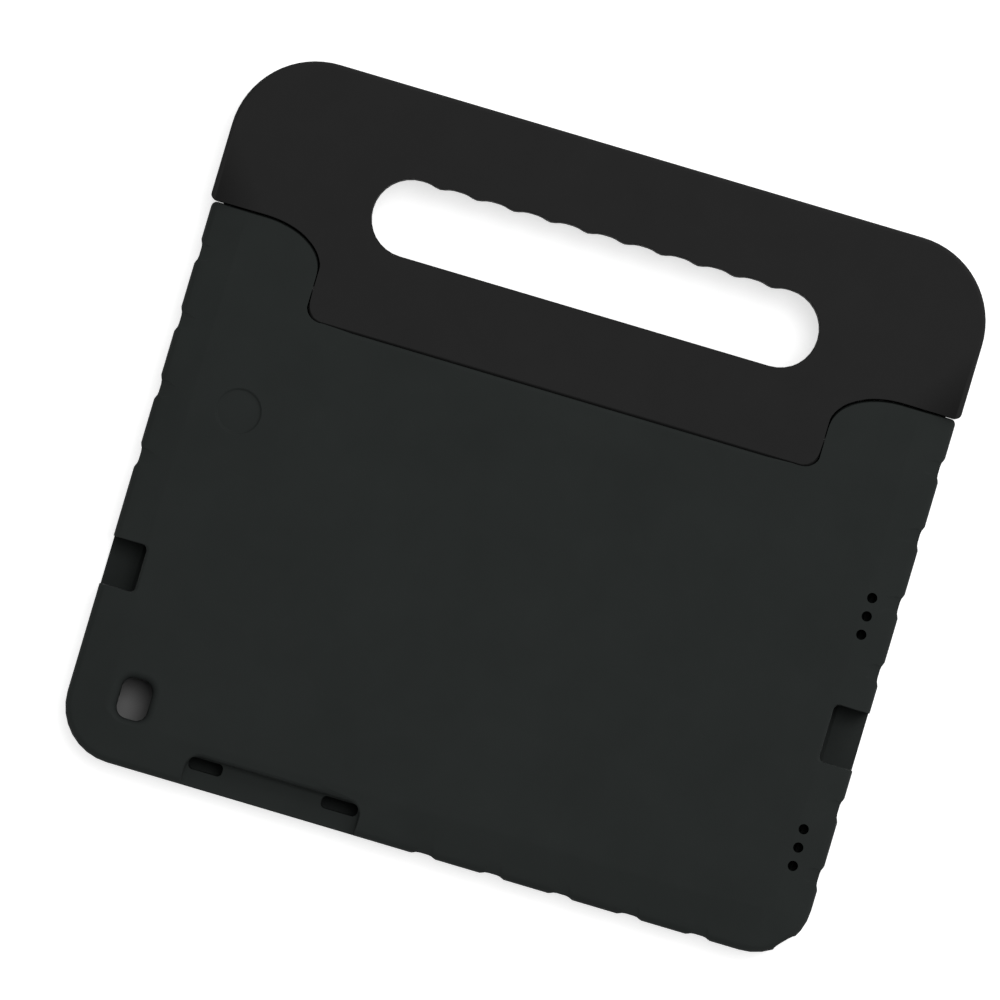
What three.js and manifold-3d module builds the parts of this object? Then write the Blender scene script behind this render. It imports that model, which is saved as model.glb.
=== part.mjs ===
// A soft foam case for a 10.1 inch tablet, with a carrying handle that folds back as a stand.
// It lies face down with its back up, in millimetres.
// +X runs along the long side, +Y towards the handle, +Z out of the back.
// Every shape is drawn with y = 0 on the fold axis and z = 0 on the front rim.
// The last group moves the whole case so that its origin is under the middle of its outline.
import * as THREE from "three";
import { mergeVertices } from "three/addons/utils/BufferGeometryUtils.js";
import Module from "manifold-3d";

const wasm = await Module();
wasm.setup();

// The tablet that the case is made for
const TABLET_WIDTH = 245.2;
const TABLET_HEIGHT = 149.4;
const TABLET_THICKNESS = 7.5;
const TABLET_CORNER_RADIUS = 8;
const TABLET_CLEARANCE = 0.3;

// Foam round the tablet
const SIDE_WALL = 11;
const TOP_WALL = 4.6;
const BOTTOM_WALL = 10.1;
const FRONT_LIP = 4;
const LIP_OVERLAP = 4.5;
const BACK_FOAM = 12.9;
const BODY_CORNER_RADIUS = 20;
const FRONT_EDGE_RADIUS = 1.5;
const BACK_EDGE_RADIUS = 3;
const BORDER_SLOPE_DEG = 9;
const SIDE_BORDER = 13;
const BOTTOM_BORDER = 16;

// The fold axis, the seam between handle and body, and the round forms that are turned about the axis
const AXIS_BELOW_BACK = 5;
const NOSE_RADIUS = 19.8;
const TONGUE_RADIUS = 12;
const TONGUE_CORNER_RADIUS = 5.5;
const TONGUE_HALF_WIDTH = 92;
const SHOULDER_SWEEP = 22.5;
const SHOULDER_FOOT = 6.5;
const HEEL_FLATTENING = 0.8;
const SEAM_GAP = 0.4;
const SEAM_CORNER_RADIUS = 2;
const SEAM_EDGE_RADIUS = 1.2;
const SEAM_EDGE_FADE = 10;

// The handle
const HANDLE_WIDTH = 270;
const HANDLE_REACH = 76.9;
const HANDLE_CORNER_RADIUS = 30;
const HANDLE_EDGE_RADIUS = 1.5;
const SLOT_HALF_SPACING = 66.5;
const SLOT_RADIUS = 13.65;
const SLOT_ABOVE_AXIS = 33;
const GRIP_DEPTH = 1;
const GRIP_COUNT = 10;

// The two hinge pins
const PIN_RADIUS = 2.5;
const PIN_END_CHAMFER = 0.5;
const PIN_IN_BODY = 24;
const PIN_IN_TONGUE = 20;
const PIN_CLEARANCE = 0.3;

// Wavy grip notches along the body's edges
const NOTCH_WIDTH = 8.9;
const NOTCH_FLANK = 2.4;
const NOTCH_DEPTH = 0.9;
const SIDE_NOTCH_PITCH = 24.45;
const SIDE_NOTCH_FIRST_Y = 1.4;
const RIGHT_NOTCHES = [0, 1, 2, 3, 5, 6];
const LEFT_NOTCHES = [0, 1, 2, 3];
const BOTTOM_NOTCH_PITCH = 24.7;
const BOTTOM_NOTCHES = [0, 1, 2, 3, 4];
const CORNER_NOTCH_STRETCH = 1.3;
const CORNER_NOTCH_EXTRA_DEPTH = 0.25;
const CORNER_NOTCH_TURN_DEG = 43;

// How each notch fades out over the border, as depths below the back and a reach inwards
const SCALLOP_REACH = 6.5;
const CORNER_SCALLOP_REACH = 2.5;
const SCALLOP_LOW = 2.6;
const SCALLOP_HIGH = 0.8;
const SCALLOP_EDGE = 1.5;

// Camera hole in the back, measured from the pocket's lower left corner
const CAMERA_WIDTH = 11;
const CAMERA_HEIGHT = 14.5;
const CAMERA_CORNER_RADIUS = 4;
const CAMERA_BEVEL = 2.7;
const CAMERA_FROM_LEFT = 12;
const CAMERA_FROM_BOTTOM = 13.5;

// Cut-outs for the charging port, the headphone jack and the buttons
const PORT_WIDTH = 20.6;
const PORT_FROM_BOTTOM = 70.5;
const JACK_WIDTH = 17;
const JACK_FROM_BOTTOM = 57.2;
const CUT_INSIDE_POCKET = 1.5;
const CUT_CORNER_RADIUS = 2;
const CUT_LIP = 1.2;
const BUTTON_LEFT_FROM_LEFT = 35.2;
const BUTTON_LENGTH = 62.6;
const BUTTON_INSIDE_POCKET = 1;
const BUTTON_CORNER_RADIUS = 5;
const BUTTON_FLOOR = 6;
const BUTTON_FLOOR_EASE = 2.6;
const BUTTON_LIP = 2.4;
const WELL_LENGTHS = [13, 14];
const WELL_WIDTH = 4.4;
const WELL_CORNER_RADIUS = 1.7;
const WELL_FROM_END = 0.95;
const WELL_FROM_SIDE = 0.6;
const WELL_FLOOR = 5;

// Speaker holes in the right border
const SPEAKER_RADIUS = 1.8;
const SPEAKER_PITCH = 6.6;
const SPEAKER_OUTSIDE_POCKET = 0.4;
const SPEAKER_GROUPS_FROM_BOTTOM = [112.8, 29.6];
const SPEAKER_DEPTH = 17;

// Shallow round dimple in the back
const DIMPLE_RADIUS = 8;
const DIMPLE_DEPTH = 0.6;
const DIMPLE_FROM_LEFT = 18.3;
const DIMPLE_FROM_BOTTOM = 119.1;

// How finely round stretches are divided
const ARC_STEPS = 8;
const TURNED_STEPS = 48;
const BAR_STEPS = 24;
const DIMPLE_STEPS = 36;
const GRIP_STEPS = 8;
const SMALL_ARC_STEPS = 4;

// How far a cutter runs past what it cuts
const PAST = 5;
const SHORT_PAST = 1;

// Sizes that follow from the ones above
const POCKET_HALF_WIDTH = TABLET_WIDTH / 2 + TABLET_CLEARANCE;
const POCKET_DEPTH = TABLET_THICKNESS + 2 * TABLET_CLEARANCE;
const POCKET_BACK_Z = FRONT_LIP + POCKET_DEPTH;
const THICKNESS = POCKET_BACK_Z + BACK_FOAM;
const AXIS_Z = THICKNESS - AXIS_BELOW_BACK;
const HALF_GAP = SEAM_GAP / 2;
const POCKET_TOP_Y = -TONGUE_RADIUS - HALF_GAP - TOP_WALL;
const POCKET_BOTTOM_Y = POCKET_TOP_Y - TABLET_HEIGHT - 2 * TABLET_CLEARANCE;
const BODY_BOTTOM_Y = POCKET_BOTTOM_Y - BOTTOM_WALL;
const BODY_HALF_WIDTH = POCKET_HALF_WIDTH + SIDE_WALL;
const HANDLE_HALF_WIDTH = HANDLE_WIDTH / 2;
const SHOULDER_X = TONGUE_HALF_WIDTH + SHOULDER_SWEEP;
const MIDDLE_Y = (HANDLE_REACH + BODY_BOTTOM_Y) / 2;

// Solids and meshes
function toSolid(geometry) {
  const bare = geometry.clone();
  bare.deleteAttribute("normal");
  bare.deleteAttribute("uv");
  const merged = mergeVertices(bare, 1e-4);
  return new wasm.Manifold(
    new wasm.Mesh({
      numProp: 3,
      vertProperties: new Float32Array(merged.attributes.position.array),
      triVerts: new Uint32Array(merged.index.array),
    }),
  );
}

function toGeometry(solid) {
  const mesh = solid.getMesh();
  const geometry = new THREE.BufferGeometry();
  geometry.setAttribute("position", new THREE.BufferAttribute(new Float32Array(mesh.vertProperties), 3));
  geometry.setIndex(new THREE.BufferAttribute(new Uint32Array(mesh.triVerts), 1));
  geometry.computeVertexNormals();
  return geometry;
}

const cutAll = (solid, cutters) => cutters.reduce((rest, cutter) => rest.subtract(cutter), solid);

// A prism over a plan outline, from one height to another
function prism(points, fromZ, toZ) {
  const geometry = new THREE.ExtrudeGeometry(new THREE.Shape(points), {
    depth: toZ - fromZ,
    bevelEnabled: false,
  });
  return toSolid(geometry.translate(0, 0, fromZ));
}

function block(x0, x1, y0, y1, z0, z1) {
  const corners = [
    [x0, y0],
    [x1, y0],
    [x1, y1],
    [x0, y1],
  ];
  return prism(corners.map(([x, y]) => new THREE.Vector2(x, y)), z0, z1);
}

// A closed skin through rings of equal length, from the lowest to the highest
function loft(rings) {
  const count = rings[0].length;
  const positions = rings.flat().flatMap((p) => [p.x, p.y, p.z]);
  const index = [];
  for (let level = 0; level + 1 < rings.length; level++) {
    for (let i = 0; i < count; i++) {
      const a = level * count + i;
      const b = level * count + ((i + 1) % count);
      index.push(a, b, b + count, a, b + count, a + count);
    }
  }
  const last = (rings.length - 1) * count;
  for (const [a, b, c] of THREE.ShapeUtils.triangulateShape(rings[0], [])) {
    index.push(a, c, b);
  }
  for (const [a, b, c] of THREE.ShapeUtils.triangulateShape(rings.at(-1), [])) {
    index.push(last + a, last + b, last + c);
  }
  const geometry = new THREE.BufferGeometry();
  geometry.setAttribute("position", new THREE.BufferAttribute(new Float32Array(positions), 3));
  geometry.setIndex(index);
  return toSolid(geometry);
}

// A form turned about the fold axis, from its radii along X
function turned(profile) {
  const points = profile.map(([x, radius]) => new THREE.Vector2(radius, x));
  const closed = [new THREE.Vector2(0, profile[0][0]), ...points, new THREE.Vector2(0, profile.at(-1)[0])];
  const geometry = new THREE.LatheGeometry(closed, TURNED_STEPS);
  geometry.rotateZ(-Math.PI / 2);
  const solid = toSolid(geometry);
  const outward = solid.volume() > 0 ? solid : toSolid(reversed(geometry));
  return outward.translate([0, 0, AXIS_Z]);
}

function reversed(geometry) {
  const index = Array.from(geometry.index.array);
  for (let i = 0; i < index.length; i += 3) {
    [index[i + 1], index[i + 2]] = [index[i + 2], index[i + 1]];
  }
  return geometry.clone().setIndex(index);
}

// A round bar standing along Z
function bar(x, y, radius, z0, z1) {
  const geometry = new THREE.CylinderGeometry(radius, radius, z1 - z0, BAR_STEPS);
  geometry.rotateX(Math.PI / 2);
  return toSolid(geometry.translate(x, y, (z0 + z1) / 2));
}

// Turns a form drawn with its section in Y and Z as plan and its length upwards, so that it runs along X
const alongX = (solid) => solid.rotate([90, 0, 90]);
const mirrored = (solid) => solid.mirror([1, 0, 0]);
const onBothSides = (solid) => solid.add(mirrored(solid));

// Points on an arc of an ellipse, both ends included
function arc(cx, cy, rx, ry, fromDeg, toDeg, steps = ARC_STEPS) {
  return Array.from({ length: steps + 1 }, (_, i) => {
    const angle = THREE.MathUtils.degToRad(fromDeg + ((toDeg - fromDeg) * i) / steps);
    return new THREE.Vector2(cx + rx * Math.cos(angle), cy + ry * Math.sin(angle));
  });
}

function roundedRectangle(cx, cy, halfWidth, halfHeight, radius) {
  const dx = halfWidth - radius;
  const dy = halfHeight - radius;
  return [
    ...arc(cx + dx, cy + dy, radius, radius, 0, 90),
    ...arc(cx - dx, cy + dy, radius, radius, 90, 180),
    ...arc(cx - dx, cy - dy, radius, radius, 180, 270),
    ...arc(cx + dx, cy - dy, radius, radius, 270, 360),
  ];
}

// The seam seen from the back, right half, from the shoulder's crest down to the straight run.
// A shift above zero lies on the handle's side of it, and one below zero on the body's side.
function shoulderCurve(shift) {
  const rise = NOSE_RADIUS - SHOULDER_FOOT;
  return arc(SHOULDER_X, SHOULDER_FOOT, SHOULDER_SWEEP + shift, rise + shift, 90, 180, 2 * ARC_STEPS);
}

function tongueCorner(shift) {
  const radius = TONGUE_CORNER_RADIUS;
  const cx = TONGUE_HALF_WIDTH - radius;
  return arc(cx, radius - TONGUE_RADIUS, radius - shift, radius - shift, 0, -90);
}

function seam(shift) {
  const right = [...shoulderCurve(shift), ...tongueCorner(shift)];
  const left = right.map((p) => new THREE.Vector2(-p.x, p.y)).reverse();
  return [...right, ...left];
}

// The plan region on the body's side of the seam
function bodyRegion() {
  const crest = NOSE_RADIUS - HALF_GAP;
  const x = BODY_HALF_WIDTH;
  const r = SEAM_CORNER_RADIUS;
  const foot = BODY_BOTTOM_Y - PAST;
  return [
    new THREE.Vector2(-x - PAST, foot),
    new THREE.Vector2(x + PAST, foot),
    new THREE.Vector2(x + PAST, crest - r),
    ...arc(x - r, crest - r, r, r, 0, 90, SMALL_ARC_STEPS),
    ...seam(-HALF_GAP),
    ...arc(r - x, crest - r, r, r, 90, 180, SMALL_ARC_STEPS),
    new THREE.Vector2(-x - PAST, crest - r),
  ];
}

// The plan region on the handle's side of the seam
function handleRegion() {
  const crest = NOSE_RADIUS + HALF_GAP;
  const x = HANDLE_HALF_WIDTH;
  const r = SEAM_CORNER_RADIUS;
  const top = HANDLE_REACH + PAST;
  return [
    new THREE.Vector2(x + PAST, top),
    new THREE.Vector2(-x - PAST, top),
    new THREE.Vector2(-x - PAST, crest + r),
    ...arc(r - x, crest + r, r, r, 180, 270, SMALL_ARC_STEPS),
    ...seam(HALF_GAP).reverse(),
    ...arc(x - r, crest + r, r, r, 270, 360, SMALL_ARC_STEPS),
    new THREE.Vector2(x + PAST, crest + r),
  ];
}

// The body before any cut: a rounded slab whose back slopes down in a soft border to a round edge
function bodyBlank() {
  const slope = THREE.MathUtils.degToRad(BORDER_SLOPE_DEG);
  const edgeInset = BACK_EDGE_RADIUS * (1 - Math.sin(slope));
  const edgeZ = THICKNESS - Math.tan(slope) * (SIDE_BORDER - edgeInset);
  const centreZ = edgeZ - BACK_EDGE_RADIUS * Math.cos(slope);
  const blankTop = NOSE_RADIUS + BOTTOM_BORDER + BODY_CORNER_RADIUS;
  const middle = (blankTop + BODY_BOTTOM_Y) / 2;
  const halfHeight = (blankTop - BODY_BOTTOM_Y) / 2;
  const ring = (z, insetX, insetY) => {
    const cornerX = BODY_HALF_WIDTH - BODY_CORNER_RADIUS;
    const cornerY = halfHeight - BODY_CORNER_RADIUS;
    const rx = BODY_CORNER_RADIUS - insetX;
    const ry = BODY_CORNER_RADIUS - insetY;
    return [
      ...arc(cornerX, middle + cornerY, rx, ry, 0, 90),
      ...arc(-cornerX, middle + cornerY, rx, ry, 90, 180),
      ...arc(-cornerX, middle - cornerY, rx, ry, 180, 270),
      ...arc(cornerX, middle - cornerY, rx, ry, 270, 360),
    ].map((p) => new THREE.Vector3(p.x, p.y, z));
  };
  const front = [90, 45, 0].map((deg) => {
    const angle = THREE.MathUtils.degToRad(deg);
    const inset = FRONT_EDGE_RADIUS * (1 - Math.cos(angle));
    return ring(FRONT_EDGE_RADIUS * (1 - Math.sin(angle)), inset, inset);
  });
  const edge = [0, 0.25, 0.5, 0.75, 1].map((share) => {
    const angle = share * (Math.PI / 2 - slope);
    const inset = BACK_EDGE_RADIUS * (1 - Math.cos(angle));
    return ring(centreZ + BACK_EDGE_RADIUS * Math.sin(angle), inset, inset);
  });
  return loft([...front, ...edge, ring(THICKNESS, SIDE_BORDER, BOTTOM_BORDER)]);
}

// One grip notch as a cutter that points along +X, with its mouth at x = 0 and its middle at y = 0.
// Each point states its place in the outline and how much of the fade over the border it takes part in.
function notchCutter(fade) {
  const half = NOTCH_WIDTH / 2;
  const side = [
    [PAST, half + NOTCH_FLANK / 4, 0],
    [NOTCH_DEPTH / 3, half + NOTCH_FLANK / 4, 0],
    [-NOTCH_DEPTH / 2, half - NOTCH_FLANK / 2, 1 / 2],
    [(-5 * NOTCH_DEPTH) / 6, half - (3 * NOTCH_FLANK) / 4, 5 / 6],
    [-NOTCH_DEPTH, half - (5 * NOTCH_FLANK) / 4, 1],
  ];
  const other = side.map(([x, y, share]) => [x, -y, share]).reverse();
  const ring = (reach, height) =>
    [...other, ...side].map(([x, y, share]) => new THREE.Vector3(x - reach * share, y, height(share)));
  const edgeZ = THICKNESS - SCALLOP_EDGE;
  return loft([
    ring(0, () => -PAST),
    ring(0, (share) => edgeZ - (SCALLOP_LOW - SCALLOP_EDGE) * share),
    ring(fade, () => THICKNESS - SCALLOP_HIGH),
    ring(fade, () => THICKNESS + PAST),
  ]);
}

function gripNotches() {
  const notch = notchCutter(SCALLOP_REACH);
  const downwards = notch.rotate([0, 0, -90]);
  const sideY = (number) => SIDE_NOTCH_FIRST_Y - number * SIDE_NOTCH_PITCH;
  return [
    ...RIGHT_NOTCHES.map((n) => notch.translate([BODY_HALF_WIDTH, sideY(n), 0])),
    ...LEFT_NOTCHES.map((n) => notch.rotate([0, 0, 180]).translate([-BODY_HALF_WIDTH, sideY(n), 0])),
    ...BOTTOM_NOTCHES.map((n) => downwards.translate([n * BOTTOM_NOTCH_PITCH, BODY_BOTTOM_Y, 0])),
  ];
}

// The wider notch straight across the right bottom corner
function cornerNotch() {
  const reach = BODY_CORNER_RADIUS - CORNER_NOTCH_EXTRA_DEPTH;
  return notchCutter(CORNER_SCALLOP_REACH)
    .scale([1, CORNER_NOTCH_STRETCH, 1])
    .translate([reach, 0, 0])
    .rotate([0, 0, -CORNER_NOTCH_TURN_DEG])
    .translate([BODY_HALF_WIDTH - BODY_CORNER_RADIUS, BODY_BOTTOM_Y + BODY_CORNER_RADIUS, 0]);
}

// What the turning handle needs the shoulders to give up, above the axis and on the handle's side of it
function shoulderWaste() {
  const nose = shoulderCurve(-HALF_GAP).map((p) => [p.x, p.y]).reverse();
  const profile = [
    [TONGUE_HALF_WIDTH - PAST, nose[0][1]],
    ...nose,
    [BODY_HALF_WIDTH + 2 * PAST, nose.at(-1)[1]],
  ];
  const corner = block(
    TONGUE_HALF_WIDTH - PAST / 2,
    BODY_HALF_WIDTH + PAST,
    0,
    NOSE_RADIUS + PAST,
    AXIS_Z,
    THICKNESS + PAST,
  );
  return onBothSides(corner.subtract(turned(profile)));
}

// What the tongue gives up below the axis: a round heel at the back and a deeper one at the front
function tongueWaste() {
  const corner = tongueCorner(HALF_GAP)
    .map((p) => [p.x, Math.max(-p.y, SHOULDER_FOOT)])
    .reverse();
  const left = corner.map(([x, radius]) => [-x, radius]).reverse();
  const end = [TONGUE_HALF_WIDTH + PAST, SHOULDER_FOOT];
  const heel = flattened(turned([[-end[0], end[1]], ...left, ...corner, end]), HEEL_FLATTENING);
  const reach = TONGUE_HALF_WIDTH + PAST / 2;
  const radius = TONGUE_RADIUS - HALF_GAP;
  const backCorner = block(-reach, reach, -TONGUE_RADIUS - PAST, 0, AXIS_Z, THICKNESS + PAST);
  const frontCorner = block(-reach, reach, -TONGUE_RADIUS - PAST, 0, -PAST, AXIS_Z);
  const round = turned([
    [-end[0], radius],
    [end[0], radius],
  ]);
  const deepHeel = flattened(round, AXIS_Z / radius);
  return backCorner.subtract(heel).add(frontCorner.subtract(deepHeel));
}

// A form about the fold axis, made flatter or deeper by a share of its height
function flattened(solid, share) {
  return solid.translate([0, 0, -AXIS_Z]).scale([1, 1, share]).translate([0, 0, AXIS_Z]);
}

// A soft edge on the body along the seam's straight run, which fades out towards both corners
function seamEdge() {
  const edgeY = -TONGUE_RADIUS - HALF_GAP;
  const section = (x, r) =>
    [
      ...arc(edgeY - r, THICKNESS - r, r, r, 0, 90, SMALL_ARC_STEPS),
      new THREE.Vector2(edgeY - r, THICKNESS + PAST),
      new THREE.Vector2(edgeY + PAST, THICKNESS + PAST),
      new THREE.Vector2(edgeY + PAST, THICKNESS - r),
    ]
      .reverse()
      .map((p) => new THREE.Vector3(p.x, p.y, x));
  const end = TONGUE_HALF_WIDTH - TONGUE_CORNER_RADIUS - SEAM_CORNER_RADIUS;
  const full = end - SEAM_EDGE_FADE;
  const faint = SEAM_EDGE_RADIUS / 8;
  return alongX(
    loft([
      section(-end, faint),
      section(-full, SEAM_EDGE_RADIUS),
      section(full, SEAM_EDGE_RADIUS),
      section(end, faint),
    ]),
  );
}

// A bore or a pin on the fold axis
function pinBar(fromX, toX, radius, chamfer) {
  const profile = [
    [fromX, radius - chamfer],
    [fromX + chamfer, radius],
    [toX - chamfer, radius],
    [toX, radius - chamfer],
  ];
  return chamfer > 0 ? turned(profile) : turned([profile[0], profile[3]]);
}

function pinBores() {
  const radius = PIN_RADIUS + PIN_CLEARANCE;
  const from = TONGUE_HALF_WIDTH - PIN_IN_TONGUE - PIN_CLEARANCE;
  const to = TONGUE_HALF_WIDTH + PIN_IN_BODY + PIN_CLEARANCE;
  return onBothSides(pinBar(from, to, radius, 0));
}

// Cuts in the body
function pocket() {
  const middle = (POCKET_TOP_Y + POCKET_BOTTOM_Y) / 2;
  const halfHeight = (POCKET_TOP_Y - POCKET_BOTTOM_Y) / 2;
  const outline = roundedRectangle(0, middle, POCKET_HALF_WIDTH, halfHeight, TABLET_CORNER_RADIUS);
  const windowOutline = roundedRectangle(
    0,
    middle,
    POCKET_HALF_WIDTH - LIP_OVERLAP,
    halfHeight - LIP_OVERLAP,
    TABLET_CORNER_RADIUS,
  );
  return prism(outline, FRONT_LIP, POCKET_BACK_Z).add(prism(windowOutline, -PAST, FRONT_LIP + SHORT_PAST));
}

// A hole or recess with rounded corners and a soft lip where it meets the back
function lippedHole(x, y, halfWidth, halfHeight, radius, bottomZ, lip) {
  const ring = (z, spread) =>
    roundedRectangle(x, y, halfWidth + spread, halfHeight + spread, radius + spread).map(
      (p) => new THREE.Vector3(p.x, p.y, z),
    );
  const bevel = [0, 22.5, 45, 67.5, 90].map((deg) => {
    const angle = THREE.MathUtils.degToRad(deg);
    return ring(THICKNESS - lip * (1 - Math.sin(angle)), lip * (1 - Math.cos(angle)));
  });
  return loft([ring(bottomZ, 0), ...bevel, ring(THICKNESS + PAST, lip)]);
}

function cameraHole() {
  const x = -POCKET_HALF_WIDTH + CAMERA_FROM_LEFT;
  const y = POCKET_BOTTOM_Y + CAMERA_FROM_BOTTOM;
  const bottomZ = POCKET_BACK_Z - SHORT_PAST;
  return lippedHole(x, y, CAMERA_WIDTH / 2, CAMERA_HEIGHT / 2, CAMERA_CORNER_RADIUS, bottomZ, CAMERA_BEVEL);
}

// A cut-out through the right wall that is open to the back
function wallCut(fromBottom, width) {
  const inner = POCKET_HALF_WIDTH - CUT_INSIDE_POCKET;
  const outer = BODY_HALF_WIDTH + PAST;
  const y = POCKET_BOTTOM_Y + fromBottom;
  const halfX = (outer - inner) / 2;
  return lippedHole((outer + inner) / 2, y, halfX, width / 2, CUT_CORNER_RADIUS, FRONT_LIP, CUT_LIP);
}

// A soft scoop in the bottom edge over the tablet's buttons, with a deeper well at each end
function buttonCut() {
  const left = -POCKET_HALF_WIDTH + BUTTON_LEFT_FROM_LEFT;
  const right = left + BUTTON_LENGTH;
  const inner = POCKET_BOTTOM_Y + BUTTON_INSIDE_POCKET;
  const outer = BODY_BOTTOM_Y - 2 * PAST;
  const ring = (depth, spread) =>
    roundedRectangle(
      (left + right) / 2,
      (inner + outer) / 2,
      BUTTON_LENGTH / 2 + spread,
      (inner - outer) / 2 + spread,
      BUTTON_CORNER_RADIUS + spread,
    ).map((p) => new THREE.Vector3(p.x, p.y, THICKNESS - depth));
  const foot = [90, 60, 30, 0].map((deg) => {
    const angle = THREE.MathUtils.degToRad(deg);
    const depth = BUTTON_FLOOR - BUTTON_FLOOR_EASE * (1 - Math.sin(angle));
    return ring(depth, -BUTTON_FLOOR_EASE * (1 - Math.cos(angle)));
  });
  const lip = [0, 30, 60, 90].map((deg) => {
    const angle = THREE.MathUtils.degToRad(deg);
    return ring(BUTTON_LIP * (1 - Math.sin(angle)), BUTTON_LIP * (1 - Math.cos(angle)));
  });
  const scoop = loft([...foot, ...lip, ring(-PAST, BUTTON_LIP)]);
  const wells = [
    [left + WELL_FROM_END, left + WELL_LENGTHS[0]],
    [right - WELL_LENGTHS[1], right - WELL_FROM_END],
  ].map(([x0, x1]) => {
    const middle = inner - WELL_FROM_SIDE - WELL_WIDTH / 2;
    const half = (x1 - x0) / 2;
    const outline = roundedRectangle(x0 + half, middle, half, WELL_WIDTH / 2, WELL_CORNER_RADIUS);
    return prism(outline, WELL_FLOOR, THICKNESS);
  });
  return wells.reduce((sum, well) => sum.add(well), scoop);
}

function speakerHoles() {
  const x = POCKET_HALF_WIDTH + SPEAKER_OUTSIDE_POCKET;
  return SPEAKER_GROUPS_FROM_BOTTOM.flatMap((height) =>
    [-1, 0, 1].map((step) => {
      const y = POCKET_BOTTOM_Y + height + step * SPEAKER_PITCH;
      return bar(x, y, SPEAKER_RADIUS, THICKNESS - SPEAKER_DEPTH, THICKNESS + PAST);
    }),
  );
}

function dimple() {
  const x = -POCKET_HALF_WIDTH + DIMPLE_FROM_LEFT;
  const y = POCKET_BOTTOM_Y + DIMPLE_FROM_BOTTOM;
  const taper = new THREE.CylinderGeometry(
    DIMPLE_RADIUS + DIMPLE_DEPTH,
    DIMPLE_RADIUS - DIMPLE_DEPTH,
    2 * DIMPLE_DEPTH,
    DIMPLE_STEPS,
  );
  taper.rotateX(Math.PI / 2);
  return toSolid(taper.translate(x, y, THICKNESS));
}

// The slot for the hand, with finger grips along its far edge
function handSlot() {
  const y = SLOT_ABOVE_AXIS;
  const half = SLOT_HALF_SPACING;
  const pitch = (2 * half) / GRIP_COUNT;
  const steps = GRIP_COUNT * GRIP_STEPS;
  const grips = Array.from({ length: steps - 1 }, (_, i) => {
    const x = half - (2 * half * (i + 1)) / steps;
    return new THREE.Vector2(x, y + SLOT_RADIUS - GRIP_DEPTH * Math.sin((Math.PI * x) / pitch) ** 4);
  });
  const rightEnd = arc(half, y, SLOT_RADIUS, SLOT_RADIUS, -90, 90, 2 * ARC_STEPS);
  const leftEnd = arc(-half, y, SLOT_RADIUS, SLOT_RADIUS, 90, 270, 2 * ARC_STEPS);
  return prism([...rightEnd, ...grips, ...leftEnd], -PAST, THICKNESS + PAST);
}

// The handle before its cuts: a flat slab with small round edges
function handleBlank() {
  const r = HANDLE_CORNER_RADIUS;
  const x = HANDLE_HALF_WIDTH;
  const foot = -TONGUE_RADIUS - 2 * PAST;
  const outline = [
    new THREE.Vector2(-x, foot),
    new THREE.Vector2(x, foot),
    ...arc(x - r, HANDLE_REACH - r, r, r, 0, 90, 2 * ARC_STEPS),
    ...arc(r - x, HANDLE_REACH - r, r, r, 90, 180, 2 * ARC_STEPS),
  ];
  const edge = HANDLE_EDGE_RADIUS;
  const geometry = new THREE.ExtrudeGeometry(new THREE.Shape(outline), {
    depth: THICKNESS - 2 * edge,
    bevelThickness: edge,
    bevelSize: edge,
    bevelOffset: -edge,
    bevelSegments: 3,
  });
  return toSolid(geometry.translate(0, 0, edge));
}

function bodyShell() {
  const region = prism(bodyRegion(), -PAST, THICKNESS + PAST);
  return cutAll(bodyBlank().intersect(region), [
    shoulderWaste(),
    seamEdge(),
    pinBores(),
    pocket(),
    cameraHole(),
    wallCut(PORT_FROM_BOTTOM, PORT_WIDTH),
    mirrored(wallCut(JACK_FROM_BOTTOM, JACK_WIDTH)),
    buttonCut(),
    ...speakerHoles(),
    dimple(),
    ...gripNotches(),
    cornerNotch(),
  ]);
}

function handleStand() {
  const region = prism(handleRegion(), -PAST, THICKNESS + PAST);
  return cutAll(handleBlank().intersect(region), [tongueWaste(), pinBores(), handSlot()]);
}

function hingePin() {
  const from = TONGUE_HALF_WIDTH - PIN_IN_TONGUE;
  return pinBar(from, TONGUE_HALF_WIDTH + PIN_IN_BODY, PIN_RADIUS, PIN_END_CHAMFER);
}

// Finishes
const bodyFoam = new THREE.MeshStandardMaterial({ color: 0x272a29, roughness: 0.85, metalness: 0 });
const handleFoam = new THREE.MeshStandardMaterial({ color: 0x262626, roughness: 0.82, metalness: 0 });
const pinPlastic = new THREE.MeshStandardMaterial({ color: 0x1c1c1c, roughness: 0.5, metalness: 0 });

function named(name, solid, material) {
  const mesh = new THREE.Mesh(toGeometry(solid), material);
  mesh.name = name;
  return mesh;
}

const tabletCase = new THREE.Group();
tabletCase.add(
  named("body_shell", bodyShell(), bodyFoam),
  named("hinge_pin_right", hingePin(), pinPlastic),
  named("hinge_pin_left", mirrored(hingePin()), pinPlastic),
  named("handle_stand", handleStand(), handleFoam),
);
tabletCase.position.y = -MIDDLE_Y;

export default tabletCase;
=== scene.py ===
"""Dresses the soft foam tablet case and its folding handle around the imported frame."""

import logging
import math
from dataclasses import dataclass
from enum import Enum

import bmesh
import bpy
from mathutils import Matrix, Vector


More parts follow.
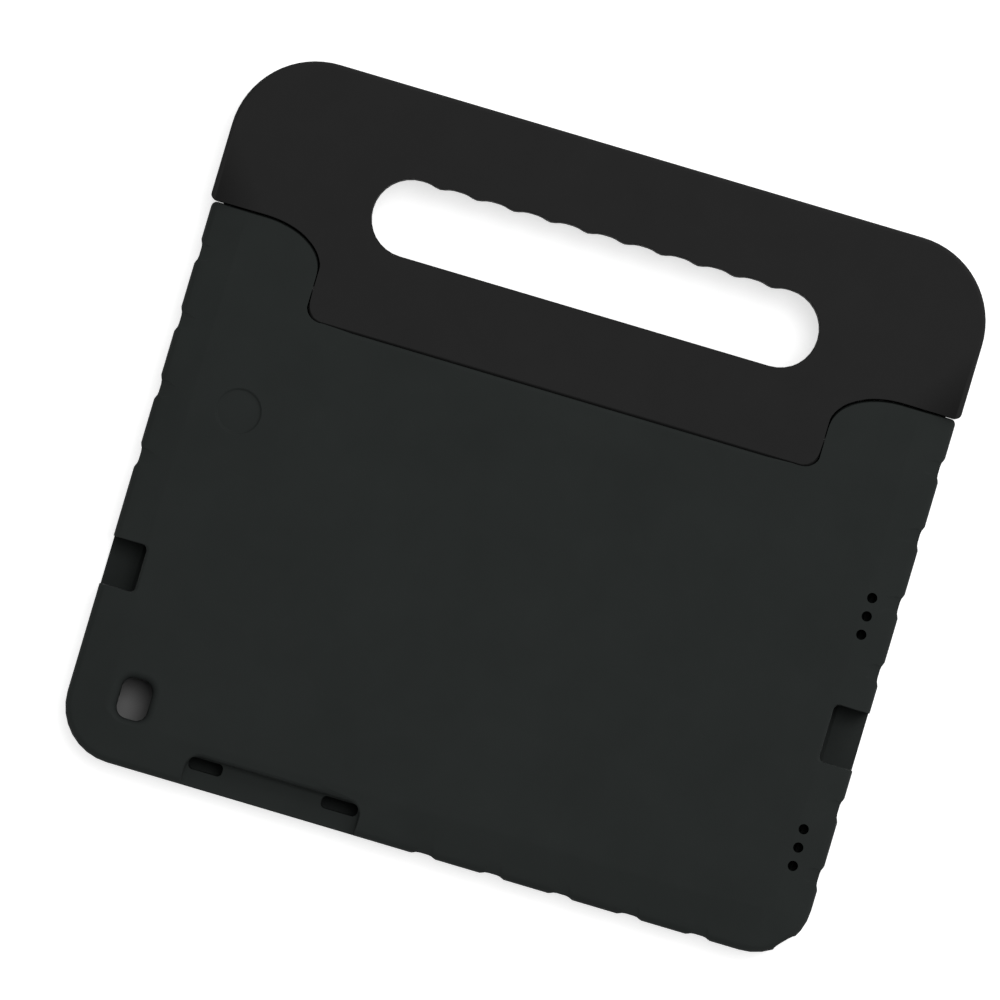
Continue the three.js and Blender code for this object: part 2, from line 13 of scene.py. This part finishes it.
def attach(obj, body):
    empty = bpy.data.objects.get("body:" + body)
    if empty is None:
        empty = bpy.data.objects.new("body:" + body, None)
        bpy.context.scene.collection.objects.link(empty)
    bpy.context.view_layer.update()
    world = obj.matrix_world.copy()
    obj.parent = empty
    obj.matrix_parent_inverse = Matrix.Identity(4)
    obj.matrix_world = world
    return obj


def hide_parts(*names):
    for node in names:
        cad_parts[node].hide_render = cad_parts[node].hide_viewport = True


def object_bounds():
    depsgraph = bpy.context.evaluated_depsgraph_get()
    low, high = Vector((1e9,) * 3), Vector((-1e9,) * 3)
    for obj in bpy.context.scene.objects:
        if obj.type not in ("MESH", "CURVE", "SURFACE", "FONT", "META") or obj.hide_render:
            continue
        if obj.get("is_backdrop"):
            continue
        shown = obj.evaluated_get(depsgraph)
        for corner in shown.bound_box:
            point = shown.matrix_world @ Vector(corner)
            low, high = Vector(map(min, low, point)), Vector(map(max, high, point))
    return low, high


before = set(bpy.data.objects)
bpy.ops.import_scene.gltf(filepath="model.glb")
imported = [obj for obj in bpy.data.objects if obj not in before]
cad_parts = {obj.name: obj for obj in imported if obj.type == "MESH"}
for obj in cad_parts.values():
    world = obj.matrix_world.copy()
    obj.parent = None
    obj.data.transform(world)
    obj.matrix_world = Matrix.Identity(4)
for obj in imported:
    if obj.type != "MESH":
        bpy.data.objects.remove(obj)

MM = 0.001
CUT_SLACK = 0.02 * MM
log = logging.getLogger("tablet_case")

Colour = tuple[float, float, float]


class Slot(Enum):
    """The record's material slots."""

    BODY_FOAM = "body_foam"
    HANDLE_FOAM = "handle_foam"
    PIN_PLASTIC = "pin_plastic"


class Body(Enum):
    """The frame's rigid bodies."""

    CASE = "body"
    HANDLE = "handle"


def grey(tone: float) -> tuple[float, float, float, float]:
    """Give a grey as red, green, blue and full cover."""
    return (tone, tone, tone, 1.0)


class NodeGraph:
    """A small helper that adds and joins the nodes of one material or world."""

    def __init__(self, owner: bpy.types.Material | bpy.types.World) -> None:
        """Start from an empty node tree.

        Args:
            owner: the material or world whose tree is built.
        """
        owner.use_nodes = True
        self.tree = owner.node_tree
        self.tree.nodes.clear()

    def add(self, kind: str, **inputs: object) -> bpy.types.Node:
        """Add one node and set the sockets that stay constant.

        Args:
            kind: the node's Blender type name.
            **inputs: socket values, with spaces in their names written as underscores.

        Returns:
            The new node.
        """
        node = self.tree.nodes.new(kind)
        for name, value in inputs.items():
            node.inputs[name.replace("_", " ")].default_value = value
        return node

    def join(self, source: bpy.types.NodeSocket, target: bpy.types.NodeSocket) -> None:
        """Link an output socket to an input socket."""
        self.tree.links.new(source, target)

    def drift(
        self,
        cloud: bpy.types.Node,
        colour: Colour,
        share: float,
        ends: tuple[float, float] = (0.0, 1.0),
    ) -> bpy.types.NodeSocket:
        """Turn a noise into a colour that drifts between a darker and a lighter tone.

        Args:
            cloud: the noise.
            colour: the linear colour in the middle.
            share: how much darker and lighter the two tones are.
            ends: the noise's values where the drift begins and ends.

        Returns:
            The drifting colour.
        """
        ramp = self.add("ShaderNodeValToRGB")
        dark, light = ramp.color_ramp.elements
        dark.position, light.position = ends
        dark.color = (*(c * (1 - share) for c in colour), 1)
        light.color = (*(c * (1 + share) for c in colour), 1)
        self.join(cloud.outputs["Fac"], ramp.inputs["Fac"])
        return ramp.outputs["Color"]


@dataclass(frozen=True)
class FoamFinish:
    """Matt closed-cell foam: a fine grain, a soft mottle and a moulded skin.

    Attributes:
        name: the material's name.
        colour: the linear base colour.
        roughness: the mean roughness.
        specular: the specular level, low because the skin scatters what it reflects.
        grain: the size of one cell of the grain, in metres.
        grain_height: how far the grain stands proud, in metres.
        mottle: how much the colour varies over a few centimetres, as a share.
        cloud: the size of one cloud of the mottle, in metres.
        cloud_ends: the noise's values where the mottle is darkest and palest.
        patch: the size of one patch of tighter skin, in metres.
        patch_change: how far the roughness goes below and above its mean.
        swell: the size of one soft swell of the surface, in metres.
        swell_strength: how strongly the swell bends the light.
        grain_strength: how strongly the grain does.
    """

    name: str
    colour: Colour
    roughness: float
    specular: float
    grain: float
    grain_height: float
    mottle: float
    cloud: float = 28 * MM
    cloud_ends: tuple[float, float] = (0.3, 0.7)
    patch: float = 9 * MM
    patch_change: float = 0.05
    swell: float = 4 * MM
    swell_strength: float = 0.35
    grain_strength: float = 0.6

    def build(self) -> bpy.types.Material:
        """Make the material.

        Returns:
            The finished material.
        """
        material = bpy.data.materials.new(self.name)
        graph = NodeGraph(material)
        place = graph.add("ShaderNodeTexCoord").outputs["Object"]
        shader = graph.add("ShaderNodeBsdfPrincipled", Specular_IOR_Level=self.specular)
        self._colour(graph, place, shader)
        self._roughness(graph, place, shader)
        self._grain(graph, place, shader)
        output = graph.add("ShaderNodeOutputMaterial")
        graph.join(shader.outputs["BSDF"], output.inputs["Surface"])
        return material

    def _colour(
        self,
        graph: NodeGraph,
        place: bpy.types.NodeSocket,
        shader: bpy.types.Node,
    ) -> None:
        """Let the colour drift gently over the surface.

        Args:
            graph: the material's nodes.
            place: object coordinates.
            shader: the surface shader.
        """
        cloud = graph.add("ShaderNodeTexNoise", Scale=1 / self.cloud, Detail=3.0, Roughness=0.55)
        graph.join(place, cloud.inputs["Vector"])
        tone = graph.drift(cloud, self.colour, self.mottle, self.cloud_ends)
        graph.join(tone, shader.inputs["Base Color"])

    def _roughness(
        self,
        graph: NodeGraph,
        place: bpy.types.NodeSocket,
        shader: bpy.types.Node,
    ) -> None:
        """Vary the roughness where the moulded skin is a little tighter.

        Args:
            graph: the material's nodes.
            place: object coordinates.
            shader: the surface shader.
        """
        patch = graph.add("ShaderNodeTexNoise", Scale=1 / self.patch, Detail=2.0)
        graph.join(place, patch.inputs["Vector"])
        spread = graph.add(
            "ShaderNodeMapRange",
            To_Min=self.roughness - self.patch_change,
            To_Max=self.roughness + self.patch_change,
        )
        graph.join(patch.outputs["Fac"], spread.inputs["Value"])
        graph.join(spread.outputs["Result"], shader.inputs["Roughness"])

    def _grain(
        self,
        graph: NodeGraph,
        place: bpy.types.NodeSocket,
        shader: bpy.types.Node,
    ) -> None:
        """Raise the closed cells of the foam's skin.

        Args:
            graph: the material's nodes.
            place: object coordinates.
            shader: the surface shader.
        """
        cells = graph.add("ShaderNodeTexVoronoi", Scale=1 / self.grain)
        graph.join(place, cells.inputs["Vector"])
        swell = graph.add("ShaderNodeTexNoise", Scale=1 / self.swell, Detail=2.0)
        graph.join(place, swell.inputs["Vector"])
        broad = graph.add("ShaderNodeBump", Strength=self.swell_strength, Distance=2 * self.grain_height)
        graph.join(swell.outputs["Fac"], broad.inputs["Height"])
        fine = graph.add("ShaderNodeBump", Strength=self.grain_strength, Distance=self.grain_height)
        fine.invert = True
        graph.join(cells.outputs["Distance"], fine.inputs["Height"])
        graph.join(broad.outputs["Normal"], fine.inputs["Normal"])
        graph.join(fine.outputs["Normal"], shader.inputs["Normal"])


@dataclass(frozen=True)
class PlasticFinish:
    """Satin moulded plastic with a faint moulding texture.

    Attributes:
        name: the material's name.
        colour: the linear base colour.
        roughness: the roughness.
        specular: the specular level.
        mottle: how much the colour varies, as a share.
        texture: the size of one spot of the moulding texture, in metres.
        texture_height: how far it stands proud, in metres.
        texture_strength: how strongly it bends the light.
    """

    name: str
    colour: Colour
    roughness: float
    specular: float = 0.4
    mottle: float = 0.1
    texture: float = 1.5 * MM
    texture_height: float = 0.01 * MM
    texture_strength: float = 0.3

    def build(self) -> bpy.types.Material:
        """Make the material.

        Returns:
            The finished material.
        """
        material = bpy.data.materials.new(self.name)
        graph = NodeGraph(material)
        place = graph.add("ShaderNodeTexCoord").outputs["Object"]
        shader = graph.add(
            "ShaderNodeBsdfPrincipled",
            Roughness=self.roughness,
            Specular_IOR_Level=self.specular,
        )
        cloud = graph.add("ShaderNodeTexNoise", Scale=1 / self.texture, Detail=3.0)
        graph.join(place, cloud.inputs["Vector"])
        graph.join(graph.drift(cloud, self.colour, self.mottle), shader.inputs["Base Color"])
        bump = graph.add("ShaderNodeBump", Strength=self.texture_strength, Distance=self.texture_height)
        graph.join(cloud.outputs["Fac"], bump.inputs["Height"])
        graph.join(bump.outputs["Normal"], shader.inputs["Normal"])
        output = graph.add("ShaderNodeOutputMaterial")
        graph.join(shader.outputs["BSDF"], output.inputs["Surface"])
        return material


BODY_FINISH = FoamFinish(
    name="body_foam",
    colour=(0.0186, 0.0215, 0.0206),
    roughness=0.8,
    specular=0.1,
    grain=0.5 * MM,
    grain_height=0.02 * MM,
    mottle=0.05,
)
HANDLE_FINISH = FoamFinish(
    name="handle_foam",
    colour=(0.0168, 0.0168, 0.0168),
    roughness=0.8,
    specular=0.1,
    grain=0.5 * MM,
    grain_height=0.015 * MM,
    mottle=0.03,
)
PIN_FINISH = PlasticFinish(name="pin_plastic", colour=(0.0116, 0.0116, 0.0116), roughness=0.45)


def cut_faces(
    shape: bmesh.types.BMesh,
    faces: list[bmesh.types.BMFace],
    place: Vector,
    normal: Vector,
) -> None:
    """Cut some faces of a mesh by a plane, where corners within CUT_SLACK of it count as on it.

    Args:
        shape: the mesh.
        faces: the faces that are cut.
        place: a point of the plane.
        normal: the plane's normal.
    """
    edges = {edge for face in faces for edge in face.edges}
    corners = {corner for face in faces for corner in face.verts}
    bmesh.ops.bisect_plane(
        shape,
        geom=[*faces, *edges, *corners],
        dist=CUT_SLACK,
        plane_co=place,
        plane_no=normal,
    )


@dataclass
class SoftenedShell:
    """A moulded foam piece: the frame's solid with its edges rounded as the mould rounds them.

    Attributes:
        node: the frame's node that the piece stands for.
        name: the piece's own name.
        body: the body it rides on.
        slot: its material slot; not used.
        edge_radius: the width of the rounding on crisp edges, in metres.
        edge_segments: how many faces the rounding has.
        edge_room: an edge is rounded where all its neighbours are this many radii long.
        same_place: corners closer than this, in metres, are one corner of the solid.
        weld: corners closer than this, in metres, become one before the rounding.
        flat_angle: faces that turn by less than this, in degrees, are joined.
        sliver: a face thinner than this, in metres, goes after the rounding.
        crisp_angle: edges that turn by more than this, in degrees, are rounded.
        tight_angle: an edge that still turns by more than this stays crisp to the light.
        cuts_x: where broad faces are parted across, in metres.
        cuts_y: where they are parted lengthwise, in metres.
        broad: a face with more corners than this is broad.
        flat_lead: how far the large faces lead in the shading, where 50 is even.
    """

    node: str
    name: str
    body: Body
    slot: Slot
    edge_radius: float = 0.3 * MM
    edge_segments: int = 3
    edge_room: float = 2.5
    same_place: float = 0.002 * MM
    weld: float = 0.12 * MM
    flat_angle: float = 0.6
    sliver: float = 0.01 * MM
    crisp_angle: float = 24.0
    tight_angle: float = 38.0
    cuts_x: tuple[float, ...] = (-97.3 * MM, -43.1 * MM, 1.7 * MM, 46.9 * MM, 98.7 * MM)
    cuts_y: tuple[float, ...] = (-112.9 * MM, -71.7 * MM, -21.3 * MM, 23.1 * MM, 61.3 * MM, 98.1 * MM)
    broad: int = 12
    flat_lead: int = 80

    def build(self, finish: bpy.types.Material) -> bpy.types.Object:
        """Make the piece and seat it on the frame.

        Args:
            finish: the material to dress it in.

        Returns:
            The new object.
        """
        mesh = bpy.data.meshes.new(self.name)
        shape = bmesh.new()
        shape.from_mesh(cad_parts[self.node].data)
        bmesh.ops.remove_doubles(shape, verts=shape.verts, dist=self.same_place)
        self._fit(shape)
        self._merge_facets(shape)
        self._part_broad_faces(shape)
        self._round_edges(shape)
        self._make_triangles(shape)
        self._keep_tight_edges(shape)
        shape.to_mesh(mesh)
        shape.free()
        mesh.materials.append(finish)
        piece = bpy.data.objects.new(self.name, mesh)
        bpy.context.scene.collection.objects.link(piece)
        self._shade(piece)
        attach(piece, self.body.value)
        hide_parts(self.node)
        return piece

    def _fit(self, shape: bmesh.types.BMesh) -> None:
        """Leave the solid as it is; a piece with a soft lip leans it here."""

    def _merge_facets(self, shape: bmesh.types.BMesh) -> None:
        """Weld tiny steps and join facets that lie in one plane.

        Args:
            shape: the piece's mesh.
        """
        bmesh.ops.remove_doubles(shape, verts=shape.verts, dist=self.weld)
        bmesh.ops.dissolve_degenerate(shape, edges=shape.edges, dist=self.weld / 4)
        bmesh.ops.dissolve_limit(
            shape,
            angle_limit=math.radians(self.flat_angle),
            verts=shape.verts,
            edges=shape.edges,
            delimit={"NORMAL"},
        )

    def _part_broad_faces(self, shape: bmesh.types.BMesh) -> None:
        """Cut the broad faces into plain ones, so that none runs round an opening.

        Args:
            shape: the piece's mesh.
        """
        planes = [((x, 0, 0), (1, 0, 0)) for x in self.cuts_x]
        planes += [((0, y, 0), (0, 1, 0)) for y in self.cuts_y]
        for place, normal in planes:
            broad = [face for face in shape.faces if len(face.verts) > self.broad]
            cut_faces(shape, broad, Vector(place), Vector(normal))

    def _round_edges(self, shape: bmesh.types.BMesh) -> None:
        """Round each crisp edge that has room for the mould's radius.

        Args:
            shape: the piece's mesh.
        """
        limit = math.radians(self.crisp_angle)
        room = self.edge_room * self.edge_radius
        crisp = [e for e in shape.edges if len(e.link_faces) == 2 and e.calc_face_angle(0.0) > limit]
        roomy = [e for e in crisp if min(n.calc_length() for v in e.verts for n in v.link_edges) >= room]
        bmesh.ops.bevel(
            shape,
            geom=roomy,
            offset=self.edge_radius,
            offset_type="OFFSET",
            segments=self.edge_segments,
            profile=0.5,
            affect="EDGES",
            clamp_overlap=False,
        )

    def _make_triangles(self, shape: bmesh.types.BMesh) -> None:
        """Turn every face into triangles, and clear the slivers that the rounding leaves.

        Args:
            shape: the piece's mesh.
        """
        bmesh.ops.remove_doubles(shape, verts=shape.verts, dist=self.sliver)
        bmesh.ops.triangulate(shape, faces=shape.faces, quad_method="BEAUTY", ngon_method="BEAUTY")
        bmesh.ops.dissolve_degenerate(shape, edges=shape.edges, dist=self.sliver)
        bmesh.ops.triangulate(shape, faces=shape.faces, quad_method="BEAUTY", ngon_method="BEAUTY")

    def _keep_tight_edges(self, shape: bmesh.types.BMesh) -> None:
        """Keep the light apart at edges that had no room to be rounded.

        Args:
            shape: the piece's mesh.
        """
        limit = math.radians(self.tight_angle)
        for edge in shape.edges:
            edge.smooth = edge.calc_face_angle(0.0) < limit

    def _shade(self, piece: bpy.types.Object) -> None:
        """Shade smoothly, with the broad flat faces deciding the normals.

        Args:
            piece: the piece.
        """
        for polygon in piece.data.polygons:
            polygon.use_smooth = True
        normals = piece.modifiers.new("flat_faces_lead", "WEIGHTED_NORMAL")
        normals.mode = "FACE_AREA_WITH_ANGLE"
        normals.weight = self.flat_lead
        normals.keep_sharp = True


@dataclass
class BodyShell(SoftenedShell):
    """The body, whose soft lip along the handle's heel closes over the heel's round.

    All its own lengths are in metres.

    Attributes:
        axis_y: the fold axis's place along the case.
        axis_z: its height.
        back_z: the height of the back.
        wall: how far the seam's straight wall lies below the axis in plan.
        corner_x: where the straight wall ends and the corner's arc begins, from the middle.
        corner_y: the arc's centre, from the axis.
        soft_x: how far from the middle the lip has its soft rounding.
        soft_width: how wide the rounding is in the solid, and how high.
        lip_width: how wide the rounding is here.
        lip_height: how high it is here.
        lip_set: how far the rounding's outer edge moves towards the heel.
        lip_reach: how far the lip reaches over the heel where it has no rounding.
        half_way: the height above the axis where the wall bends.
        half_reach: how far the wall leans over the heel at that height.
        slack: what counts as lying on a line.
        upright: a face stands upright where its normal's z is less than this.
    """

    axis_y: float = 50 * MM
    axis_z: float = 20 * MM
    back_z: float = 25 * MM
    wall: float = 12.2 * MM
    corner_x: float = 86.5 * MM
    corner_y: float = -6.5 * MM
    soft_x: float = 75 * MM
    soft_width: float = 1.2 * MM
    lip_width: float = 1.5 * MM
    lip_height: float = 0.6 * MM
    lip_set: float = 1.0 * MM
    lip_reach: float = 1.7 * MM
    half_way: float = 2.6 * MM
    half_reach: float = 0.43 * MM
    slack: float = 0.05 * MM
    upright: float = 0.1

    def _fit(self, shape: bmesh.types.BMesh) -> None:
        """Lean the seam's wall over the round of the heel, above the fold axis.

        Args:
            shape: the body's mesh.
        """
        for height in (self.axis_z, self.axis_z + self.half_way):
            cut_faces(shape, self._seam_wall(shape), Vector((0, 0, height)), Vector((0, 0, 1)))
        for corner in shape.verts:
            if corner.co.z > self.axis_z + self.slack and self._on_seam(corner.co, self.soft_width):
                self._lean(corner)

    def _on_seam(self, place: Vector, behind: float) -> bool:
        """Tell whether a point lies on the seam's straight wall, its corners or just behind them.

        Args:
            place: the point.
            behind: how far behind the straight wall still counts.

        Returns:
            Whether it does.
        """
        y = place.y - self.axis_y
        reach = self.corner_x + self.wall + self.corner_y + self.slack
        return abs(place.x) < reach and -self.wall - behind - self.slack < y < self.corner_y + self.slack

    def _seam_wall(self, shape: bmesh.types.BMesh) -> list[bmesh.types.BMFace]:
        """List the upright faces of the seam that reach up to its lip.

        Args:
            shape: the body's mesh.

        Returns:
            Those faces.
        """
        return [
            face
            for face in shape.faces
            if abs(face.normal.z) < self.upright
            and max(corner.co.z for corner in face.verts) > self.back_z - 2 * self.soft_width
            and all(self._on_seam(corner.co, 0) for corner in face.verts)
        ]

    def _lean(self, corner: bmesh.types.BMVert) -> None:
        """Move one corner of the lip over the heel.

        Args:
            corner: the corner.
        """
        place = corner.co
        side = abs(place.x)
        y = place.y - self.axis_y
        low = place.z < self.axis_z + self.half_way + self.slack
        reach = self.half_reach if low else self.lip_reach
        if side < self.soft_x and not low:
            behind = (y + self.wall + self.soft_width) / self.soft_width
            place.y = self.axis_y - self.wall - self.soft_width + behind * self.lip_width + self.lip_set
            place.z = self.back_z - (self.back_z - place.z) * self.lip_height / self.soft_width
        elif side < self.corner_x + self.slack:
            place.y += reach
        else:
            spoke = Vector((math.copysign(side - self.corner_x, place.x), y - self.corner_y, 0))
            share = max(0.0, -spoke.y / spoke.length)
            corner.co = place - spoke.normalized() * reach * share


@dataclass
class HingePins:
    """The two hinge pins, which keep the frame's own solids.

    Attributes:
        nodes: the pins' node names.
    """

    nodes: tuple[str, str] = ("hinge_pin_left", "hinge_pin_right")

    def build(self, finish: bpy.types.Material) -> None:
        """Give both pins their finish.

        Args:
            finish: the plastic material.
        """
        for node in self.nodes:
            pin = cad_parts[node]
            pin.data.materials.clear()
            pin.data.materials.append(finish)
            log.info("%s dressed", node)


@dataclass
class Studio:
    """The pale floor, the soft lights and the camera that looks down on the case.

    Attributes:
        lens: focal length in millimetres.
        sensor: sensor width in millimetres.
        picture_width: how much of the case's plane the picture shows across, in metres.
        turn: how far the case is turned in the picture, in degrees clockwise.
        centre_right: how far the case's middle lies right of the picture's middle, in metres.
        centre_down: how far it lies below it, in metres.
        focus_height: the height above the floor where the picture has that width, in metres.
        floor_half: half the floor's width, in metres.
        floor_tone: how pale the floor is.
        floor_glow: how much the floor is lifted towards white where it is looked at.
        floor_drop: how far it lies below the case, in metres.
        shade: the dark sheets of painted shade under the case and under the seam's two ends, each with a
            low and a high corner in plan.
        shade_tone: how pale the painted shade is.
        shade_drop: how far they lie below the case, in metres.
        fill: how brightly the surroundings light the scene.
        backdrop: how bright they are where they are looked at.
        sun_energy: the strength of the lamp overhead.
        sun_spread: how wide that lamp is, in degrees.
        sun_from: where it shines from.
        side_energy: the strength of the lamp past the handle's right end.
        side_size: how wide that lamp is, in metres.
        side_from: where it hangs, in metres.
        sight: how far the camera sees, in metres.
    """

    lens: float = 600.0
    sensor: float = 36.0
    picture_width: float = 345.3 * MM
    turn: float = 16.5
    centre_right: float = 9.45 * MM
    centre_down: float = 1.3 * MM
    focus_height: float = 20 * MM
    floor_half: float = 3.0
    floor_tone: float = 0.8
    floor_glow: float = 0.65
    floor_drop: float = 0.2 * MM
    # painted shade: dark sheets laid under the case and the seam's two ends, where the floor would lie
    # in shade
    shade: tuple[tuple[str, tuple[float, float], tuple[float, float]], ...] = (
        ("shade_of_body", (-0.118, -0.112), (0.118, 0.028)),
        ("shade_of_left_seam", (-0.1305, 0.040), (-0.088, 0.0735)),
        ("shade_of_right_seam", (0.088, 0.040), (0.1305, 0.0735)),
    )
    shade_tone: float = 0.17
    shade_drop: float = 0.1 * MM
    fill: float = 0.42
    backdrop: float = 1.0
    sun_energy: float = 1.25
    sun_spread: float = 24.0
    sun_from: tuple[float, float, float] = (0.12, 0.2, 1.0)
    side_energy: float = 7.5
    side_size: float = 0.9
    side_from: tuple[float, float, float] = (0.8, 1.0, 0.75)
    sight: float = 20.0

    def build(self) -> None:
        """Make everything round the object."""
        self._floor()
        self._world()
        self._lamps()
        self._camera()

    def _floor(self) -> None:
        """Lay a plain pale floor that keeps the case's shadow, with dark sheets of painted shade under
        the case and the seam's ends.
        """
        half = self.floor_half
        self._sheet("floor", (-half, -half), (half, half), -self.floor_drop, self._floor_material())
        # painted shade: these dark grey sheets stand for the shade under the case and the seam's ends
        painted_shade = self._painted_shade_material()
        for name, low, high in self.shade:
            self._sheet(name, low, high, -self.shade_drop, painted_shade)

    def _sheet(
        self,
        name: str,
        low: tuple[float, float],
        high: tuple[float, float],
        height: float,
        material: bpy.types.Material,
    ) -> None:
        """Lay one flat sheet of floor.

        Args:
            name: the sheet's name.
            low: its lowest corner in plan.
            high: its highest corner in plan.
            height: how high it lies.
            material: its material.
        """
        mesh = bpy.data.meshes.new(name)
        (left, near), (right, far) = low, high
        corners = [(left, near, 0), (right, near, 0), (right, far, 0), (left, far, 0)]
        mesh.from_pydata(corners, [], [(0, 1, 2, 3)])
        mesh.materials.append(material)
        sheet = bpy.data.objects.new(name, mesh)
        sheet.location.z = height
        bpy.context.scene.collection.objects.link(sheet)
        sheet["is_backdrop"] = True

    def _painted_shade_material(self) -> bpy.types.Material:
        """Make the painted shade: a dark grey floor that is seen through the case's openings.

        Returns:
            Its material.
        """
        material = bpy.data.materials.new("painted_shade_floor")
        graph = NodeGraph(material)
        paper = graph.add("ShaderNodeBsdfDiffuse", Color=grey(self.shade_tone))
        output = graph.add("ShaderNodeOutputMaterial")
        graph.join(paper.outputs[0], output.inputs["Surface"])
        return material

    def _floor_material(self) -> bpy.types.Material:
        """Make the pale floor: lit paper, lifted towards white where it is looked at.

        Returns:
            The floor's material.
        """
        material = bpy.data.materials.new("pale_floor")
        graph = NodeGraph(material)
        paper = graph.add("ShaderNodeBsdfDiffuse", Color=grey(self.floor_tone))
        glow = graph.add("ShaderNodeEmission", Color=grey(1.0), Strength=self.floor_glow)
        lifted = graph.add("ShaderNodeAddShader")
        graph.join(paper.outputs[0], lifted.inputs[0])
        graph.join(glow.outputs[0], lifted.inputs[1])
        both = graph.add("ShaderNodeMixShader")
        graph.join(self._looked_at(graph), both.inputs["Fac"])
        graph.join(paper.outputs[0], both.inputs[1])
        graph.join(lifted.outputs[0], both.inputs[2])
        output = graph.add("ShaderNodeOutputMaterial")
        graph.join(both.outputs[0], output.inputs["Surface"])
        return material

    def _looked_at(self, graph: NodeGraph) -> bpy.types.NodeSocket:
        """Pick the rays that look at the floor or see it in something shiny or clear.

        Args:
            graph: the floor's nodes.

        Returns:
            One for those rays, and zero for the light that the floor throws back.
        """
        rays = graph.add("ShaderNodeLightPath")
        picked = rays.outputs["Is Camera Ray"]
        for other in ("Is Glossy Ray", "Is Transmission Ray"):
            either = graph.add("ShaderNodeMath")
            either.operation = "MAXIMUM"
            graph.join(picked, either.inputs[0])
            graph.join(rays.outputs[other], either.inputs[1])
            picked = either.outputs[0]
        return picked

    def _world(self) -> None:
        """Light the scene evenly, and show white behind it."""
        world = bpy.data.worlds.new("studio")
        bpy.context.scene.world = world
        graph = NodeGraph(world)
        fill = graph.add("ShaderNodeBackground", Strength=self.fill)
        white = graph.add("ShaderNodeBackground", Strength=self.backdrop)
        rays = graph.add("ShaderNodeLightPath")
        mix = graph.add("ShaderNodeMixShader")
        output = graph.add("ShaderNodeOutputWorld")
        graph.join(rays.outputs["Is Camera Ray"], mix.inputs["Fac"])
        graph.join(fill.outputs[0], mix.inputs[1])
        graph.join(white.outputs[0], mix.inputs[2])
        graph.join(mix.outputs[0], output.inputs["Surface"])

    def _lamps(self) -> None:
        """Light the case from overhead, with a broad lamp low down past the handle's right end."""
        overhead = bpy.data.lights.new("overhead", "SUN")
        overhead.energy = self.sun_energy
        overhead.angle = math.radians(self.sun_spread)
        self._hang("overhead", overhead, Vector(self.sun_from))
        side = bpy.data.lights.new("side", "AREA")
        side.size = self.side_size
        side.energy = self.side_energy
        self._hang("side", side, Vector(self.side_from))

    def _hang(self, name: str, data: bpy.types.Light, place: Vector) -> None:
        """Hang one lamp so that it faces the case.

        Args:
            name: the lamp's name.
            data: the lamp.
            place: where it hangs.
        """
        lamp = bpy.data.objects.new(name, data)
        lamp.location = place
        lamp.rotation_mode = "QUATERNION"
        lamp.rotation_quaternion = (-place).to_track_quat("-Z", "Y")
        bpy.context.scene.collection.objects.link(lamp)

    def _camera(self) -> None:
        """Look straight down on the back, turned as the case lies in the picture."""
        low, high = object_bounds()
        middle = (low + high) / 2
        angle = math.radians(self.turn)
        right = Vector((math.cos(angle), math.sin(angle), 0))
        up = Vector((-math.sin(angle), math.cos(angle), 0))
        distance = self.picture_width * self.lens / self.sensor
        data = bpy.data.cameras.new("camera")
        data.lens = self.lens
        data.sensor_width = self.sensor
        data.clip_end = self.sight
        camera = bpy.data.objects.new("camera", data)
        aim = Vector((middle.x, middle.y, self.focus_height))
        aim += up * self.centre_down - right * self.centre_right
        place = aim + Vector((0, 0, distance))
        camera.matrix_world = Matrix.Translation(place) @ Matrix.Rotation(angle, 4, "Z")
        bpy.context.scene.collection.objects.link(camera)
        bpy.context.scene.camera = camera


def main() -> None:
    """Build the pieces in order and report each."""
    logging.basicConfig(level=logging.INFO, format="%(name)s: %(message)s")
    bpy.context.scene.view_settings.view_transform = "Standard"
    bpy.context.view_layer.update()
    Studio().build()
    shells = [
        (BodyShell("body_shell", "foam_body", Body.CASE, Slot.BODY_FOAM), BODY_FINISH),
        (SoftenedShell("handle_stand", "foam_handle", Body.HANDLE, Slot.HANDLE_FOAM), HANDLE_FINISH),
    ]
    for shell, finish in shells:
        piece = shell.build(finish.build())
        log.info("%s: %d faces", piece.name, len(piece.data.polygons))
    HingePins().build(PIN_FINISH.build())


if __name__ == "__main__":
    main()
